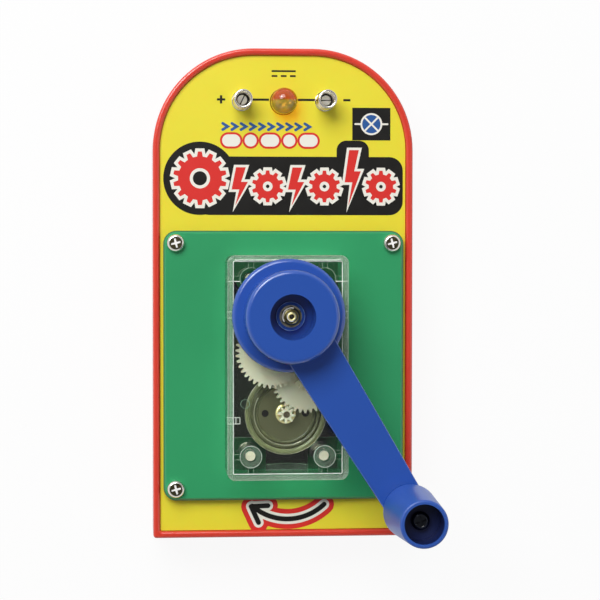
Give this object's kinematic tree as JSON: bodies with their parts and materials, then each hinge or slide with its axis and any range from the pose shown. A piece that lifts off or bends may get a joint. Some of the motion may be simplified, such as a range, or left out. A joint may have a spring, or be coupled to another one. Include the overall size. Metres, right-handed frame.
{
  "type": "hand crank generator",
  "caption": "Upright board with a clear geared hand crank generator, a lamp and two spring terminals.",
  "frame": {"origin": "middle of the flat back, with the object lying on its back", "axes": "+Z out of the printed face, +Y towards the lamp end, +X to the right seen from the front"},
  "size_m": [0.0837, 0.15, 0.0645],
  "materials": {
    "red_plastic": "glossy moulded",
    "yellow_card": "printed satin card",
    "green_plastic": "satin moulded",
    "blue_plastic": "glossy moulded",
    "clear_plastic": "clear moulded",
    "white_nylon": "ivory moulded",
    "motor_steel": "zinc plated",
    "screw_steel": "bright plated",
    "shaft_steel": "ground",
    "spring_plate": "nickel plated",
    "brass": "plain",
    "bronze": "sintered",
    "copper": "enamelled",
    "magnet": "ferrite",
    "amber_lens": "tinted clear",
    "tinned_wire": "tinned",
    "resistor_body": "lacquered",
    "red_insulation": "soft",
    "black_insulation": "soft"
  },
  "bodies": {
    "case": {"base_tray": "red_plastic", "back_cover": "red_plastic", "back_cover_screws": "screw_steel", "face_card": "yellow_card", "green_plate": "green_plastic", "plate_screws": "screw_steel", "gearbox_base": "clear_plastic", "gearbox_cover": "clear_plastic", "gearbox_screws": "screw_steel", "gear_axle_a": "shaft_steel", "gear_axle_b": "shaft_steel", "motor_can": "motor_steel", "motor_end_cap": "white_nylon", "motor_magnets": "magnet", "motor_bearings": "bronze", "motor_terminals": "brass", "motor_brushes": "brass", "lamp_lens": "amber_lens", "lamp_leads": "tinned_wire", "lamp_resistor": "resistor_body", "terminal_studs": "spring_plate", "terminal_lugs": "brass", "terminal_nuts": "brass", "lead_red": "red_insulation", "lead_black": "black_insulation"},
    "crank": {"crank_arm": "blue_plastic", "crank_shaft": "shaft_steel", "crank_gear": "white_nylon", "crank_washer": "screw_steel", "crank_nut": "brass", "knob_screw": "screw_steel"},
    "knob": {"crank_knob": "blue_plastic"},
    "gear_a": {"idler_gear_a": "white_nylon"},
    "gear_b": {"idler_gear_b": "white_nylon"},
    "rotor": {"motor_shaft": "shaft_steel", "motor_pinion": "white_nylon", "armature_core": "shaft_steel", "armature_windings": "copper", "commutator": "copper"},
    "plus_spring": {"spring_plus": "spring_plate"},
    "minus_spring": {"spring_minus": "spring_plate"}
  },
  "joints": [
    {"name": "crank_turn", "type": "hinge", "parent": "case", "child": "crank", "pos_m": [0, -0.0061, 0.03], "axis": [0, 0, 1], "continuous": true},
    {"name": "knob_spin", "type": "hinge", "parent": "crank", "child": "knob", "pos_m": [0.03553, -0.06385, 0.05], "axis": [0, 0, 1], "continuous": true},
    {"name": "gear_a_spin", "type": "hinge", "parent": "case", "child": "gear_a", "pos_m": [-0.00456, -0.01737, 0.028], "axis": [0, 0, 1], "continuous": true},
    {"name": "gear_b_spin", "type": "hinge", "parent": "case", "child": "gear_b", "pos_m": [0.00566, -0.02574, 0.027], "axis": [0, 0, 1], "continuous": true},
    {"name": "rotor_spin", "type": "hinge", "parent": "case", "child": "rotor", "pos_m": [0, -0.0362, 0.018], "axis": [0, 0, 1], "continuous": true},
    {"name": "plus_spring_bend", "type": "hinge", "parent": "case", "child": "plus_spring", "pos_m": [-0.0128, 0.059, 0.018], "axis": [0, 1, 0], "range_deg": [-25, 25], "stiffness_Nm_per_rad": 0.02, "deforming": ["spring_plus"]},
    {"name": "minus_spring_bend", "type": "hinge", "parent": "case", "child": "minus_spring", "pos_m": [0.0128, 0.059, 0.018], "axis": [0, 1, 0], "range_deg": [-25, 25], "stiffness_Nm_per_rad": 0.02, "deforming": ["spring_minus"]}
  ],
  "couplings": [
    {"joint": "gear_a_spin", "follows": "crank_turn", "ratio": -3.6},
    {"joint": "gear_b_spin", "follows": "crank_turn", "ratio": 14.4},
    {"joint": "rotor_spin", "follows": "crank_turn", "ratio": -66.6}
  ]
}
